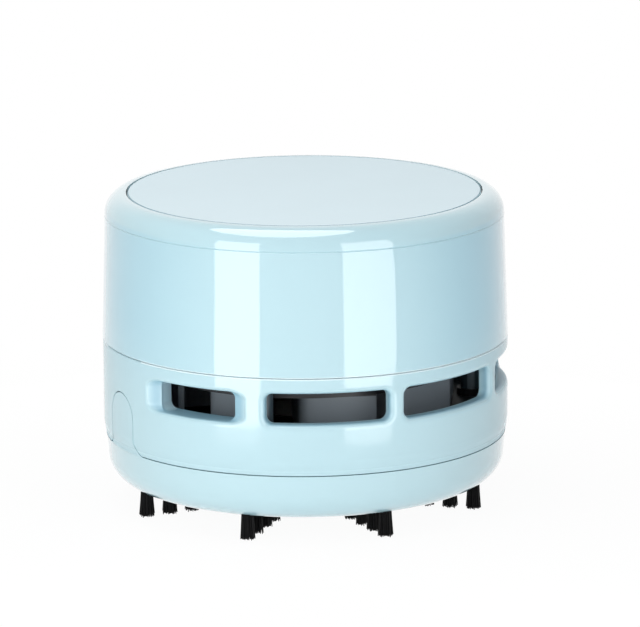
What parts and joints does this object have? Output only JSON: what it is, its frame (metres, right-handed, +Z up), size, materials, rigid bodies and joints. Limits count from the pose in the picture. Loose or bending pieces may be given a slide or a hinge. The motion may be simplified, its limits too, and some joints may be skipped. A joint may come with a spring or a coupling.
{
  "type": "desktop mini vacuum cleaner",
  "caption": "Round battery-driven desk vacuum: a fan behind side vents draws dust up through bristles into a lift-off tray.",
  "frame": {"origin": "on the body's axis, at the height of the bristle tips", "axes": "+Z up along the body's axis, -Y towards the dust tray's release latch"},
  "size_m": [0.086, 0.086, 0.0665],
  "materials": {
    "cap_blue": "high gloss light blue ABS",
    "body_blue": "high gloss light blue ABS",
    "tray_blue": "high gloss light blue ABS",
    "plate_blue": "fine matt light blue ABS",
    "bristle_black": "black nylon bristle",
    "filter_grey": "moulded, satin",
    "filter_cloth": "fine white non-woven filter cloth",
    "dark_grey": "dark moulded, satin",
    "fan_grey": "grey moulded, satin",
    "screw_steel": "zinc plated",
    "shaft_steel": "ground",
    "core_iron": "laminated",
    "copper": "enamelled copper",
    "can_steel": "drawn, nickel plated",
    "end_cap_plastic": "natural nylon",
    "magnet_black": "ferrite",
    "contact_metal": "nickel plated strip",
    "bush_bronze": "sintered bronze",
    "chassis_white": "moulded, satin",
    "cell_wrap": "plain printed sleeve",
    "spring_steel": "nickel plated wire",
    "switch_black": "moulded, satin",
    "stem_white": "moulded, satin"
  },
  "bodies": {
    "tray": {"dust_tray": "tray_blue", "bristle_row_1": "bristle_black", "bristle_row_2": "bristle_black", "bristle_row_3": "bristle_black", "bristle_row_4": "bristle_black", "bristle_row_5": "bristle_black", "bristle_row_6": "bristle_black", "bristle_row_7": "bristle_black", "bristle_row_8": "bristle_black"},
    "latch": {"release_latch": "body_blue"},
    "filter": {"filter_frame": "filter_grey", "filter_cloth": "filter_cloth"},
    "main_body": {"vent_housing": "body_blue", "intake_shroud": "dark_grey", "shroud_screws": "screw_steel", "battery_chassis": "chassis_white", "chassis_screws": "screw_steel", "motor_can": "can_steel", "motor_end_cap": "end_cap_plastic", "motor_magnets": "magnet_black", "motor_terminals": "contact_metal", "front_bush": "bush_bronze", "rear_bush": "bush_bronze", "cell_right": "cell_wrap", "cell_left": "cell_wrap", "spring_contacts": "contact_metal", "nub_contacts": "contact_metal", "cell_spring_right": "spring_steel", "cell_spring_left": "spring_steel", "switch_body": "switch_black"},
    "rotor": {"impeller": "fan_grey", "motor_shaft": "shaft_steel", "armature_core": "core_iron", "armature_windings": "copper", "commutator": "copper"},
    "switch_stem": {"switch_stem": "stem_white"},
    "cap": {"cap_shell": "cap_blue", "plate_spring_1": "spring_steel", "plate_spring_2": "spring_steel", "plate_spring_3": "spring_steel"},
    "press_plate": {"press_plate": "plate_blue"}
  },
  "joints": [
    {"name": "latch_flex", "type": "hinge", "parent": "tray", "child": "latch", "pos_m": [0, -0.04019, 0.015], "axis": [-1, 0, 0], "range_deg": [0, 4], "stiffness_Nm_per_rad": 0.5},
    {"name": "tray_release", "type": "slide", "parent": "tray", "child": "filter", "axis": [0, 0, 1], "range_m": [0, 0.03]},
    {"name": "filter_release", "type": "slide", "parent": "filter", "child": "main_body", "axis": [0, 0, 1], "range_m": [0, 0.02]},
    {"name": "fan_spin", "type": "hinge", "parent": "main_body", "child": "rotor", "pos_m": [0, 0, 0.03], "axis": [0, 0, 1], "continuous": true},
    {"name": "cap_lift", "type": "slide", "parent": "main_body", "child": "cap", "axis": [0, 0, 1], "range_m": [0, 0.035]},
    {"name": "plate_press", "type": "slide", "parent": "cap", "child": "press_plate", "axis": [0, 0, -1], "range_m": [0, 0.0015], "stiffness_N_per_m": 600, "springref_m": -0.002, "deforming": ["plate_spring_1", "plate_spring_2", "plate_spring_3"]},
    {"name": "switch_press", "type": "slide", "parent": "main_body", "child": "switch_stem", "axis": [0, 0, -1], "range_m": [0, 0.0015]}
  ],
  "couplings": [
    {"joint": "switch_press", "follows": "plate_press", "ratio": 1}
  ]
}
